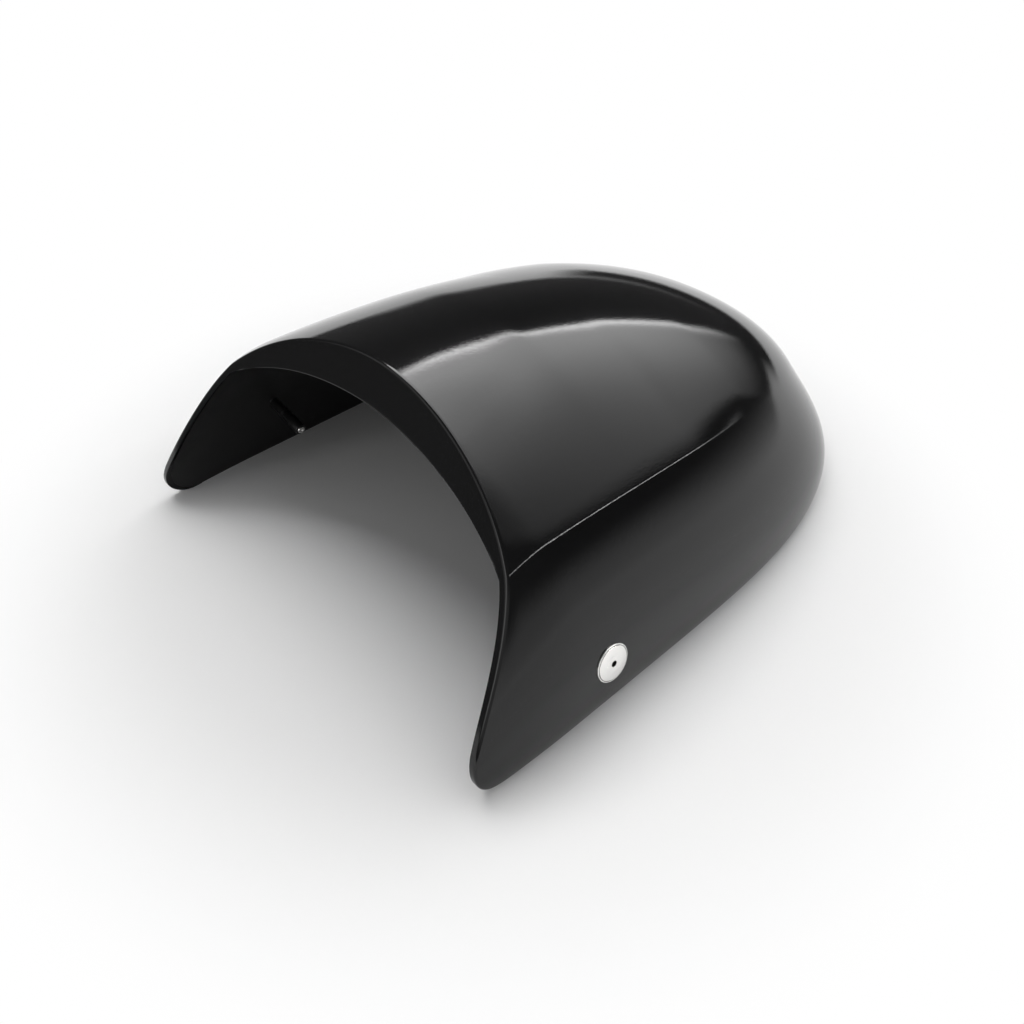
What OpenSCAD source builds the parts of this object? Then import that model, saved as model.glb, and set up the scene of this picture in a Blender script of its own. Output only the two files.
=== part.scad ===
// Seat cowl: a moulded cover for the rear half of a motorbike seat, held by one pin at each side.
// X runs across the cowl, +Y towards the tail, +Z up. The bottom edge lies on Z = 0.

/* [Overall size] */
// Width over the side walls at the bottom edge, in mm
cowl_width = 258; // [240:1:280]
// Length from the front datum line to the tail, in mm
cowl_length = 340.3; // [315:0.1:365]
// Height of the crown at its highest point, in mm
crown_height = 119.8; // [110:0.1:130]
// Thickness of the moulded wall, in mm
wall = 3.0; // [2.6:0.1:3.8]

/* [Plan shape] */
// Distance behind the datum where the bottom edge starts to close in to the tail
bottom_taper_start = 103; // [85:1:120]
// Fullness of the bottom edge round the tail: a higher value is squarer
bottom_fullness = 3.61; // [3:0.01:4.2]
// How far each foot turns in at the front datum
toe_in = 2.6; // [0:0.1:7]
// Length of the turned-in part of each foot
toe_in_length = 60; // [45:1:80]
// Width across the two shoulder creases
shoulder_width = 202.4; // [188:0.2:214]
// Distance behind the datum where the shoulders start to close in
shoulder_taper_start = 7; // [0:1:30]
// Fullness of the shoulder line round the tail
shoulder_fullness = 3.7; // [3.2:0.01:4.2]
// Bluntness of the tail: 2 closes it like an ellipse
tail_bluntness = 2; // [1.7:0.01:2.4]

/* [Side profile] */
// Distance from the datum to the highest point of the crown
crown_peak = 125; // [105:1:145]
// Share of its height that the crown loses at the datum
crown_drop = 0.132; // [0.08:0.001:0.2]
// Fullness of the crown line down to the tail
crown_fullness = 1.44; // [1.3:0.01:1.8]
// Height of the shoulder creases at their highest point
shoulder_height = 81.7; // [75:0.1:88]
// Distance from the datum to the highest point of the shoulders
shoulder_peak = 66.3; // [58:0.1:80]
// Share of their height that the shoulders lose at the datum
shoulder_drop = 0.478; // [0.35:0.001:0.52]
// Fullness of the shoulder line down to the tail
shoulder_fall = 1.78; // [1.5:0.01:2.1]

/* [Section shape] */
// Outward lean of the wall at the bottom edge, in degrees
bottom_lean = 14.9; // [5:0.1:18]
// Inward lean of the wall where it meets the shoulder crease, in degrees
shoulder_lean = 47.8; // [40:0.1:52]
// Angle of the shoulder crease at the front, in degrees
crease_angle = 6.5; // [3:0.1:12]
// Distance from the datum where the crease starts to fade
crease_fade_start = 165; // [130:1:190]
// Distance from the datum where the crease has gone
crease_fade_end = 215; // [200:1:260]
// Stiffness of the wall curve at the bottom edge
wall_low_pull = 0.41; // [0.3:0.01:0.5]
// Stiffness of the wall curve at the shoulder
wall_high_pull = 0.3; // [0.2:0.01:0.4]
// Stiffness of the top curve at the shoulder
top_low_pull = 0.39; // [0.3:0.01:0.5]
// Stiffness of the top curve at the crown
top_high_pull = 0.33; // [0.2:0.01:0.45]

/* [Front edge] */
// Where the front edge starts at the bottom, measured back from the datum
foot_start = -1.9; // [-4:0.1:2]
// Radius of the rounded corner of each foot
foot_radius = 22.5; // [18:0.1:28]
// Rake of the front edge just above the foot
foot_rake = 0.05; // [0:0.01:0.1]
// Rake of the front edge up the leg
leg_rake = 0.738; // [0.6:0.001:0.85]
// Height where the leg starts to rake back
leg_rake_height = 7.5; // [4:0.1:14]
// Rake of the front edge over the crown
crown_rake = 0.468; // [0.35:0.001:0.6]
// Height where the edge steepens towards the crown
crown_rake_height = 91.4; // [80:0.1:100]
// Width of the front flange at the crown
flange_width = 17.0; // [12:0.1:22]
// How quickly the flange narrows towards the legs
flange_taper = 2.38; // [1.6:0.01:2.8]
// Thickness of the front flange
flange_thickness = 3.4; // [2.8:0.1:4.5]
// Step that the flange leaves inside each leg
leg_lip = 0.3; // [0.2:0.1:0.8]
// Radius of the edge between the flange and the outer skin
edge_round = 1.2; // [0.8:0.1:1.8]

/* [Side pins] */
// Distance of the bolts behind the front datum
bolt_setback = 77.3; // [65:0.1:95]
// Height of the bolts above the bottom edge, on the outer skin
bolt_height = 27.9; // [24:0.1:36]
// Upward lean of the bolts' heads, in degrees
bolt_lean = 12; // [8:0.5:15]
// Diameter of the bolt head
head_diameter = 17.8; // [14:0.1:20]
// Thickness of the bolt head at its rim
head_rim = 1.5; // [1.2:0.1:2]
// Rise of the domed face above the rim
head_dome = 0.7; // [0.3:0.1:1.2]
// Width of the bevel round the head
head_bevel = 0.5; // [0.3:0.1:0.8]
// Diameter of the fine ring turned in the head's face
face_ring_diameter = 8; // [6:0.1:10]
// Width across the flats of the hexagon socket
socket_width = 2.5; // [2:0.1:3]
// Depth of the hexagon socket
socket_depth = 1.4; // [1:0.1:1.8]
// Diameter of the bolt's shank
shank_diameter = 4.2; // [3.6:0.1:4.6]
// Length of the bolt inside the wall, from the skin to its end
pin_reach = 30.3; // [26:0.1:34]
// Depth of the flat seat cut for the head in the outer skin
head_seat_depth = 0.7; // [0.5:0.1:0.9]
// Depth of the flat seat cut for the sleeve in the inner skin
sleeve_seat_depth = 0.5; // [0.3:0.1:0.6]
// Gap between the head and the rim of its seat
head_seat_clearance = 0.3; // [0.2:0.05:0.5]
// Gap between the shank and the hole in the wall
hole_clearance = 0.2; // [0.1:0.05:0.4]
// Gap between the shank and the bore of the sleeve
sleeve_clearance = 0.05; // [0.02:0.01:0.1]
// Wall of the sleeve's slim neck
sleeve_neck_wall = 0.5; // [0.4:0.05:0.7]
// Wall of the sleeve's thick barrel
sleeve_barrel_wall = 1; // [0.8:0.05:1.4]
// Distance from the wall to the collar on the sleeve
collar_position = 10; // [8:0.5:12]
// Length of the collar on the sleeve
collar_length = 2; // [1.5:0.1:3]
// Length of the slim gap behind the collar
collar_gap = 1.6; // [1:0.1:2.5]
// Length of the bolt's end that stands out of the sleeve
bolt_end = 0.8; // [0.4:0.1:1.5]

/* [Hidden] */

// Smoothness of turned parts
$fn = 64;

// Numbers of strips that the moulded skin is lofted from
foot_strips = 5;
leg_strips = 7;
top_strips = 10;
length_rows = 26;
round_rows = 3;
face_rows = 3;
// Share of the wall's height covered by the closely spaced strips at the foot
foot_share = 0.36;
// How strongly the rows crowd together towards the tail
row_crowding = 1.15;
// Height over which one rake of the front edge blends into the next
rake_blend = 12;
// Shares of an inset that move the shoulder crease sideways and down
crease_inset = [0.8, 0.6];
// Steps of the search for the front edge and for the bolts
search_steps = 14;
// Small part of the flange's thickness and width taken off its inner edge
tip_share = 0.06;
// Overshoot of cutting tools beyond the faces that they cut
overcut = 1;
// Depth and width of the ring turned in the head's face
ring_depth = 0.15;
ring_width = 0.35;
// Chamfers of the sleeve and of the bolt's end
small_chamfer = 0.3;
// Number of steps in the head's domed face
dome_steps = 6;

// Colours of the moulding, the bolts and the sleeves
gloss_black = [0.03, 0.03, 0.035];
stainless = [0.78, 0.78, 0.76];
black_sleeve = [0.08, 0.08, 0.08];

head_radius = head_diameter / 2;
shank_radius = shank_diameter / 2;
sleeve_bore = shank_radius + sleeve_clearance;
neck_radius = sleeve_bore + sleeve_neck_wall;
barrel_radius = sleeve_bore + sleeve_barrel_wall;
sleeve_start = wall - sleeve_seat_depth;
sleeve_end = pin_reach - bolt_end;

// A value held between 0 and 1
function clamped(v) = max(0, min(1, v));

// Full size up to the start, then closing in a blunt curve to nothing at the reach
function tail_curve(y, start, reach, fullness) =
    pow(1 - pow(clamped((y - start) / (reach - start)), fullness), 1 / tail_bluntness);

// Loses a share of the full size between the peak and the front datum
function nose_curve(y, peak, drop) = 1 - drop * pow(max(0, 1 - y / peak), 2);

// Where the shell ends for a skin that lies an inset inside the outer one
function reach(inset) = cowl_length - inset;

// The four lines that steer the skin, each for a distance from the datum and an inset
function bottom_half(y, inset) =
    (cowl_width / 2 - inset)
    * tail_curve(y, bottom_taper_start, reach(inset), bottom_fullness)
    - toe_in * pow(max(0, 1 - y / toe_in_length), 2);
function crown_line(y, inset) =
    (crown_height - inset) * nose_curve(y, crown_peak, crown_drop)
    * tail_curve(y, crown_peak, reach(inset), crown_fullness);
function shoulder_half(y, inset) =
    (shoulder_width / 2 - inset * crease_inset[0])
    * tail_curve(y, shoulder_taper_start, reach(inset), shoulder_fullness);
function shoulder_line(y, inset) =
    (shoulder_height - inset * crease_inset[1]) * nose_curve(y, shoulder_peak, shoulder_drop)
    * tail_curve(y, shoulder_peak, reach(inset), shoulder_fall);

// Lean of the top where it leaves the crease: the crease fades out towards the tail
function top_lean(y) =
    shoulder_lean
    + crease_angle * (1 - clamped((y - crease_fade_start) / (crease_fade_end - crease_fade_start)));

// A point on a cubic curve from a to d, pulled towards b and c
function curve_point(a, b, c, d, t) =
    pow(1 - t, 3) * a + 3 * t * pow(1 - t, 2) * b + 3 * pow(t, 2) * (1 - t) * c + pow(t, 3) * d;

// The section of the side wall and of the top, as [half width, height]
function wall_point(y, inset, t) =
    let (
        half = shoulder_half(y, inset),
        rise = shoulder_line(y, inset),
        foot = [bottom_half(y, inset), 0],
        crease = [half, rise],
        low = foot + wall_low_pull * rise * [sin(bottom_lean), cos(bottom_lean)],
        high = crease + wall_high_pull * rise * [sin(shoulder_lean), -cos(shoulder_lean)]
    )
    curve_point(foot, low, high, crease, t);
function top_point(y, inset, t) =
    let (
        half = shoulder_half(y, inset),
        crease = [half, shoulder_line(y, inset)],
        crown = [0, crown_line(y, inset)],
        lean = top_lean(y),
        low = crease + top_low_pull * half * [-sin(lean), cos(lean)],
        high = crown + top_high_pull * half * [1, 0]
    )
    curve_point(crease, low, high, crown, t);

// A strip's place runs from 0 at the bottom edge over 1 at the crease to 2 at the crown
function skin_point(y, inset, place) =
    place < 1 ? wall_point(y, inset, place) : top_point(y, inset, place - 1);

// Smooth ramp that is flat below zero and rises one in one above it
function ramp(v) = rake_blend * ln(1 + exp(v / rake_blend));
function ramp_from(z, start) = ramp(z - start) - ramp(-start);

// How far the raked front edge stands behind the datum at a height
function front_line(z) =
    foot_start
    + (z < foot_radius ? foot_radius - sqrt(pow(foot_radius, 2) - pow(foot_radius - z, 2)) : 0)
    + foot_rake * z
    + (leg_rake - foot_rake) * ramp_from(z, leg_rake_height)
    + (crown_rake - leg_rake) * ramp_from(z, crown_rake_height);

// Where a strip meets the raked front, found by stepping towards it
function front_y(inset, place, setback = 0, y = 30, step = 0) =
    step == search_steps
    ? y
    : front_y(inset, place, setback, front_line(skin_point(y, inset, place)[1]) + setback, step + 1);

// A point of the shell from its distance, inset and strip
function shell_point(y, inset, place) =
    let (p = skin_point(y, inset, place)) [p[0], y, p[1]];
function front_point(inset, place, setback = 0) =
    shell_point(front_y(inset, place, setback), inset, place);

// Width of the front flange on a strip: a thin lip on the legs, a crescent over the crown
function flange_inset(place) =
    wall + leg_lip
    + (flange_width - wall - leg_lip) * (1 - pow(1 - clamped(place - 1), flange_taper));

// Shares of the length, crowded towards the tail
function row_share(i) = (1 - cos(180 * pow(i / length_rows, row_crowding))) / 2;
function length_points(front, inset, place) =
    [for (i = [1:length_rows])
        let (end = reach(inset))
        shell_point(end - (end - front) * row_share(i), inset, place)];

// One strip of the shell: outer skin, rounded edge, flange, inner skin
function strip(place) =
    let (
        width = flange_inset(place),
        tip = tip_share * (width - wall),
        depth = flange_thickness,
        edge = front_y(0, place),
        skin_end = shell_point(edge + edge_round, 0, place),
        corner = shell_point(edge, 0, place),
        face_start = front_point(edge_round, place),
        outer = length_points(edge + edge_round, 0, place),
        rounding = [for (i = [1:round_rows])
            let (t = i / round_rows)
            pow(1 - t, 2) * skin_end + 2 * t * (1 - t) * corner + pow(t, 2) * face_start],
        face = [for (i = [1:face_rows])
            front_point(edge_round + (width - tip - edge_round) * i / face_rows, place)],
        lip = [
            front_point(width, place, tip_share * depth),
            front_point(width, place, (1 - tip_share) * depth)
        ],
        back = [
            front_point(width - tip, place, depth),
            front_point(wall + (width - tip - wall) / 2, place, depth)
        ],
        inside = length_points(front_y(wall, place, depth), wall, place)
    )
    concat(outer, rounding, face, lip, back, [for (i = [length_rows - 1:-1:0]) inside[i]]);

// The places of the strips on one side, closely spaced round the corner of the foot
places = concat(
    [for (i = [0:foot_strips - 1]) foot_share * (1 - cos(90 * i / foot_strips))],
    [for (i = [0:leg_strips]) foot_share + (1 - foot_share) * i / leg_strips],
    [for (i = [1:top_strips]) 1 + i / top_strips]
);
side_strips = [for (place = places) strip(place)];
crown_index = len(places) - 1;
strips = concat(
    side_strips,
    [for (i = [crown_index - 1:-1:0]) [for (p = side_strips[i]) [-p[0], p[1], p[2]]]]
);
rows = len(strips[0]);
last_strip = len(strips) - 1;

// Vertices: the tips of the outer and the inner skin at the tail, then strip after strip
outer_tip = 0;
inner_tip = 1;
function vertex(s, r) = 2 + s * rows + r;
shell_points = concat(
    [[0, reach(0), 0], [0, reach(wall), 0]],
    [for (s = strips) for (p = s) p]
);
skin_faces = [for (s = [0:last_strip - 1]) for (r = [0:rows - 2]) for (half = [0:1])
    half == 0
    ? [vertex(s, r), vertex(s + 1, r + 1), vertex(s + 1, r)]
    : [vertex(s, r), vertex(s, r + 1), vertex(s + 1, r + 1)]];
tail_faces = [for (s = [0:last_strip - 1]) for (end = [0:1])
    end == 0
    ? [outer_tip, vertex(s, 0), vertex(s + 1, 0)]
    : [inner_tip, vertex(s + 1, rows - 1), vertex(s, rows - 1)]];
// The bottom edge joins each row of the outer skin to the matching row of the inner skin
function edge_faces(s, flip) =
    [for (r = [0:floor(rows / 2) - 1])
        let (
            a = vertex(s, r),
            b = vertex(s, r + 1),
            c = vertex(s, rows - 2 - r),
            d = vertex(s, rows - 1 - r)
        )
        for (face = b == c ? [[a, b, d]] : r + 1 > rows - 2 - r ? [] : [[a, b, c], [a, c, d]])
            flip ? [face[0], face[2], face[1]] : face];
bottom_faces = concat(
    edge_faces(0, true),
    edge_faces(last_strip, false),
    [[outer_tip, vertex(0, rows - 1), vertex(0, 0)],
     [outer_tip, inner_tip, vertex(0, rows - 1)],
     [outer_tip, vertex(last_strip, 0), vertex(last_strip, rows - 1)],
     [outer_tip, vertex(last_strip, rows - 1), inner_tip]]
);

// The cowl is centred on its own box: foot tips at one end, tail at the other
foot_tip = min([for (s = side_strips) min([for (p = s) p[1]])]);
centre_shift = -(foot_tip + cowl_length) / 2;

// Strip of the outer skin at the bolt's height, found by halving
function place_at(y, z, low = 0, high = 1, step = 0) =
    let (middle = (low + high) / 2)
    step == search_steps
    ? middle
    : skin_point(y, 0, middle)[1] < z
        ? place_at(y, z, middle, high, step + 1)
        : place_at(y, z, low, middle, step + 1);
bolt_point = shell_point(bolt_setback, 0, place_at(bolt_setback, bolt_height));

// Puts a fixing on the right or left wall: its +Z axis points out through the skin
module at_bolt(side) {
    translate([0, centre_shift, 0])
        mirror([side > 0 ? 0 : 1, 0, 0])
            translate(bolt_point)
                rotate([0, 90 - bolt_lean, 0])
                    children();
}

// Hole and flat seats for one bolt
module bolt_cutter() {
    translate([0, 0, -pin_reach])
        cylinder(r = shank_radius + hole_clearance, h = pin_reach + head_diameter);
    translate([0, 0, -head_seat_depth])
        cylinder(r = head_radius + head_seat_clearance, h = head_rim + head_dome + overcut);
    translate([0, 0, -sleeve_start - overcut - sleeve_seat_depth])
        cylinder(r = barrel_radius + head_seat_clearance, h = overcut + sleeve_seat_depth);
}

module cowl_shell() {
    color(gloss_black)
        difference() {
            translate([0, centre_shift, 0])
                polyhedron(points = shell_points,
                           faces = concat(skin_faces, tail_faces, bottom_faces),
                           convexity = 6);
            at_bolt(1)
                bolt_cutter();
            at_bolt(-1)
                bolt_cutter();
        }
}

// Outline of the bolt from its axis outwards, with the head's underside at zero
module bolt_profile() {
    dome_base = head_radius - head_bevel;
    ring = face_ring_diameter / 2;
    bottom = head_seat_depth - pin_reach;
    function dome_height(r) = head_rim + head_dome * (1 - pow(r / dome_base, 2));
    polygon(concat(
        [[0, bottom],
         [shank_radius - small_chamfer, bottom],
         [shank_radius, bottom + small_chamfer],
         [shank_radius, 0],
         [head_radius, 0],
         [head_radius, head_rim - head_bevel],
         [dome_base, head_rim]],
        [for (i = [1:dome_steps - 1])
            let (r = dome_base + (ring + ring_width - dome_base) * i / dome_steps)
            [r, dome_height(r)]],
        [[ring + ring_width, dome_height(ring + ring_width)],
         [ring, dome_height(ring) - ring_depth],
         [ring - ring_width, dome_height(ring - ring_width)]],
        [for (i = [1:dome_steps])
            let (r = (ring - ring_width) * (1 - i / dome_steps))
            [r, dome_height(r)]]
    ));
}

module bolt(side) {
    color(stainless)
        at_bolt(side)
            translate([0, 0, -head_seat_depth])
                difference() {
                    rotate_extrude()
                        bolt_profile();
                    translate([0, 0, head_rim + head_dome - socket_depth])
                        cylinder(d = socket_width / cos(30), h = socket_depth + overcut, $fn = 6);
                }
}

// Outline of the stepped sleeve, measured inwards from its seat on the wall
module sleeve_profile() {
    length = sleeve_end - sleeve_start;
    barrel_start = collar_position + collar_length + collar_gap;
    polygon([
        [sleeve_bore, 0],
        [barrel_radius, 0],
        [barrel_radius, -small_chamfer],
        [neck_radius, -2 * small_chamfer],
        [neck_radius, -collar_position],
        [barrel_radius, -collar_position - small_chamfer],
        [barrel_radius, small_chamfer - collar_position - collar_length],
        [neck_radius, -collar_position - collar_length],
        [neck_radius, -barrel_start],
        [barrel_radius, -barrel_start - small_chamfer],
        [barrel_radius, small_chamfer - length],
        [barrel_radius - small_chamfer, -length],
        [sleeve_bore, -length]
    ]);
}

module sleeve(side) {
    color(black_sleeve)
        at_bolt(side)
            translate([0, 0, -sleeve_start])
                rotate_extrude()
                    sleeve_profile();
}

module bolt_right() {
    bolt(1);
}

module bolt_left() {
    bolt(-1);
}

module sleeve_right() {
    sleeve(1);
}

module sleeve_left() {
    sleeve(-1);
}

cowl_shell();
bolt_right();
bolt_left();
sleeve_right();
sleeve_left();
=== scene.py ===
# %% [markdown]
# # A moulded seat cowl
# This lesson dresses one part: the hard cover that goes over the rear half of a motorbike seat. It is a
# thin black moulding, open in front and below, with a bright bolt through each side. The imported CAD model
# comes in first as a fixed frame, and every Blender piece is then made in that same frame, in metres.

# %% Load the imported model
import math
import bmesh
import bpy
import numpy as np
from mathutils import Matrix


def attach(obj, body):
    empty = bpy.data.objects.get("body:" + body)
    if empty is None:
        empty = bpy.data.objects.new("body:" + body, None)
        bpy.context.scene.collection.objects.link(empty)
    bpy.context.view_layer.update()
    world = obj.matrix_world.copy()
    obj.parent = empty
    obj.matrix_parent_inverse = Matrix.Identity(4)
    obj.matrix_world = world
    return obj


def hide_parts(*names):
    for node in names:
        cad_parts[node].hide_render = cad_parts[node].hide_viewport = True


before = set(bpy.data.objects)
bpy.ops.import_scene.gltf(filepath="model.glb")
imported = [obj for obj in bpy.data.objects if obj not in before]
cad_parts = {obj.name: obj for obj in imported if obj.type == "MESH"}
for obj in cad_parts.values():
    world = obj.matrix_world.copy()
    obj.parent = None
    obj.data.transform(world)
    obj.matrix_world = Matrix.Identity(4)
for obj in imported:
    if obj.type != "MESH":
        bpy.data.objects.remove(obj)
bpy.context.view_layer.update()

# %% [markdown]
# The moulding could be shaped over the solid by eye. Here it is worked out from the CAD model's own sizes,
# in millimetres from the front datum line, so a denser mesh lies on the same surface as the solid.

# %% Sizes of the moulding
MM = 0.001
COWL_WIDTH = 258.0
COWL_LENGTH = 340.3
CROWN_HEIGHT = 119.8
WALL = 3.0
CENTRE_SHIFT = -172.737
print("cowl", COWL_WIDTH, "x", COWL_LENGTH, "x", CROWN_HEIGHT, "mm")

# %% [markdown]
# A few steering lines carry the form: the bottom edge and the shoulder crease from above, and the crown and
# the crease from the side. From above they run nearly straight and then close round the tail. A taper is the
# distance where the closing starts, and how full the line stays. From the side, the crown and the crease
# drop a little from their peaks towards the front.

# %% Steering lines
TAIL_BLUNTNESS = 2.0
BOTTOM_TAPER = (103.0, 3.61)
TOE_IN, TOE_IN_LENGTH = 2.6, 60.0
SHOULDER_WIDTH = 202.4
SHOULDER_TAPER = (7.0, 3.70)
CROWN_PEAK, CROWN_DROP, CROWN_FULLNESS = 125.0, 0.132, 1.44
SHOULDER_HEIGHT, SHOULDER_PEAK, SHOULDER_DROP, SHOULDER_FALL = 81.7, 66.3, 0.478, 1.78
print("shoulder crease:", SHOULDER_WIDTH, "mm across and", SHOULDER_HEIGHT, "mm high")

# %% [markdown]
# In a cross section the side wall leans in as it rises, and the top turns over at the crease, which fades
# out between two distances. A pull is how strongly each end of a curve holds its direction. The inner skin
# is the outer one moved in by the wall, and its crease moves in a little less.

# %% Shape of a cross section
BOTTOM_LEAN, SHOULDER_LEAN, CREASE_ANGLE = 14.9, 47.8, 6.5
CREASE_FADE = (165.0, 215.0)
WALL_PULL = (0.41, 0.30)
TOP_PULL = (0.39, 0.33)
CREASE_INSET = (0.8, 0.6)
print("the wall leans from", BOTTOM_LEAN, "to", SHOULDER_LEAN, "degrees")

# %% [markdown]
# The front edge has rounded feet, leans back up the legs and is steeper over the crown. A crescent flange
# stiffens it on the real cowl. The sizes are the CAD model's, apart from the tip share, the rounding of the
# flange's inner rim. It is smaller here, because the photograph shows a thin, sharp highlight on that rim.

# %% Sizes of the front edge
FOOT_START, FOOT_RADIUS, FOOT_RAKE = -1.9, 22.5, 0.05
LEG_RAKE, LEG_RAKE_HEIGHT = 0.738, 7.5
CROWN_RAKE, CROWN_RAKE_HEIGHT = 0.468, 91.4
RAKE_BLEND = 12.0
FLANGE_WIDTH, FLANGE_TAPER, FLANGE_THICKNESS = 17.0, 2.38, 3.4
LEG_LIP, EDGE_ROUND = 0.3, 1.2
TIP_SHARE = 0.035
print("flange", FLANGE_WIDTH, "mm wide at the crown")

# %% [markdown]
# Each cross section is two cubic curves: the side wall from the bottom edge up to the crease, and the top
# from the crease to the crown. A strip's place is one number: 0 at the bottom edge, 1 at the crease and 2 at
# the crown. The skin is a function, so any point of the moulding can be asked for.

# %% The skin as a function of distance, inset and place
def closing(y, reach, start, fullness):
    share = np.clip((y - start) / (reach - start), 0, 1)
    return np.power(np.maximum(1 - share ** fullness, 0), 1 / TAIL_BLUNTNESS)


def nose(y, peak, drop):
    return 1 - drop * np.maximum(0, 1 - y / peak) ** 2


def cubic(a, b, c, d, t):
    return (1 - t) ** 3 * a + 3 * t * (1 - t) ** 2 * b + 3 * t ** 2 * (1 - t) * c + t ** 3 * d


def steering_lines(y, inset):
    """Half width of the foot, height of the crown, and half width and height of the crease."""
    reach = COWL_LENGTH - inset
    foot = (COWL_WIDTH / 2 - inset) * closing(y, reach, *BOTTOM_TAPER)
    foot = foot - TOE_IN * np.maximum(0, 1 - y / TOE_IN_LENGTH) ** 2
    crown = (CROWN_HEIGHT - inset) * nose(y, CROWN_PEAK, CROWN_DROP)
    crown = crown * closing(y, reach, CROWN_PEAK, CROWN_FULLNESS)
    half = (SHOULDER_WIDTH / 2 - inset * CREASE_INSET[0]) * closing(y, reach, *SHOULDER_TAPER)
    rise = (SHOULDER_HEIGHT - inset * CREASE_INSET[1]) * nose(y, SHOULDER_PEAK, SHOULDER_DROP)
    rise = rise * closing(y, reach, SHOULDER_PEAK, SHOULDER_FALL)
    return foot, crown, half, rise


def skin(y, inset, place):
    y, inset, place = np.broadcast_arrays(*(np.asarray(v, float) for v in (y, inset, place)))
    foot, crown, half, rise = steering_lines(y, inset)
    low_lean, high_lean = math.radians(BOTTOM_LEAN), math.radians(SHOULDER_LEAN)
    fade = 1 - np.clip((y - CREASE_FADE[0]) / (CREASE_FADE[1] - CREASE_FADE[0]), 0, 1)
    top_lean = np.radians(SHOULDER_LEAN + CREASE_ANGLE * fade)
    t = np.clip(place, 0, 1)
    wall_x = cubic(foot, foot + WALL_PULL[0] * rise * math.sin(low_lean),
                   half + WALL_PULL[1] * rise * math.sin(high_lean), half, t)
    wall_z = cubic(0 * foot, WALL_PULL[0] * rise * math.cos(low_lean),
                   rise - WALL_PULL[1] * rise * math.cos(high_lean), rise, t)
    t = np.clip(place - 1, 0, 1)
    top_x = cubic(half, half - TOP_PULL[0] * half * np.sin(top_lean), TOP_PULL[1] * half, 0 * half, t)
    top_z = cubic(rise, rise + TOP_PULL[0] * half * np.cos(top_lean), crown, crown, t)
    side = place < 1
    return np.stack([np.where(side, wall_x, top_x), y, np.where(side, wall_z, top_z)], -1)


print("crown above the middle:", skin(-CENTRE_SHIFT, 0, 2)[2].round(2), "mm")

# %% [markdown]
# Seen from the side, the front edge is one line whose rake changes by smooth ramps. The edge of a strip is
# where the skin meets that line. It has no short formula, so it is found by stepping towards it a few times.

# %% The raked front edge
FIRST_GUESS, GUESSES = 30.0, 16


def ramp(v):
    return RAKE_BLEND * np.logaddexp(0, v / RAKE_BLEND)


def front_line(z):
    below = np.clip(FOOT_RADIUS - z, 0, None)
    corner = FOOT_RADIUS - np.sqrt(np.clip(FOOT_RADIUS ** 2 - below ** 2, 0, None))
    leg = ramp(z - LEG_RAKE_HEIGHT) - ramp(-LEG_RAKE_HEIGHT)
    crown = ramp(z - CROWN_RAKE_HEIGHT) - ramp(-CROWN_RAKE_HEIGHT)
    foot = FOOT_START + corner + FOOT_RAKE * z
    return foot + (LEG_RAKE - FOOT_RAKE) * leg + (CROWN_RAKE - LEG_RAKE) * crown


def front_distance(inset, place, setback=0.0):
    y = np.full(np.broadcast(inset, place).shape, FIRST_GUESS)
    for _ in range(GUESSES):
        y = front_line(skin(y, inset, place)[..., 2]) + setback
    return y


def front_point(inset, place, setback=0.0):
    return skin(front_distance(inset, place, setback), inset, place)


print("crown of the front edge stands", front_distance(0, 2).round(1), "mm behind the datum")

# %% [markdown]
# One strip of the shell runs along the outer skin to the front edge, round it, over the flange and back
# along the inner skin. A subdivision cage could give such a form too, but strips laid side by side are
# simpler here and lie exactly on the skin. They crowd together at the foot's corner and at the crease.

# %% Places of the strips
FOOT_SHARE, CREASE_ROUND = 0.36, 0.007
FOOT_STRIPS, LEG_STRIPS, TOP_STRIPS = 15, 30, 44
wall_places = np.concatenate([FOOT_SHARE * (1 - np.cos(np.linspace(0, np.pi / 2, FOOT_STRIPS))),
                              np.linspace(FOOT_SHARE, 1 - CREASE_ROUND, LEG_STRIPS)[1:]])
top_places = np.linspace(1 + CREASE_ROUND, 2, TOP_STRIPS)
print("strips on a wall:", len(wall_places), "on half of the top:", len(top_places))

# %% [markdown]
# Along a strip, the rows also crowd together at the tail and at the front, where the form turns quickest.
# The flange grows from a thin lip on the legs to its full width at the crown.

# %% One strip from the tail round the front edge and back
LENGTH_ROWS, ROUND_ROWS, FACE_ROWS = 120, 5, 5
ROW_CROWDING = 1.15
RIM_TURNS = (0.5, 1.05, math.pi / 2)
BACK_SHARES = (0, 0.33, 0.66)


def flange_inset(place):
    grow = 1 - (1 - np.clip(place - 1, 0, 1)) ** FLANGE_TAPER
    return WALL + LEG_LIP + (FLANGE_WIDTH - WALL - LEG_LIP) * grow


def length_rows(front, inset, place):
    along = (np.arange(1, LENGTH_ROWS + 1) / LENGTH_ROWS) ** ROW_CROWDING
    share = (1 - np.cos(np.pi * along)) / 2
    reach = COWL_LENGTH - inset
    return skin(reach - (reach - front) * share, inset, place)


def bend(start, corner, end, t):
    return (1 - t) ** 2 * start + 2 * t * (1 - t) * corner + t ** 2 * end


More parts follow.
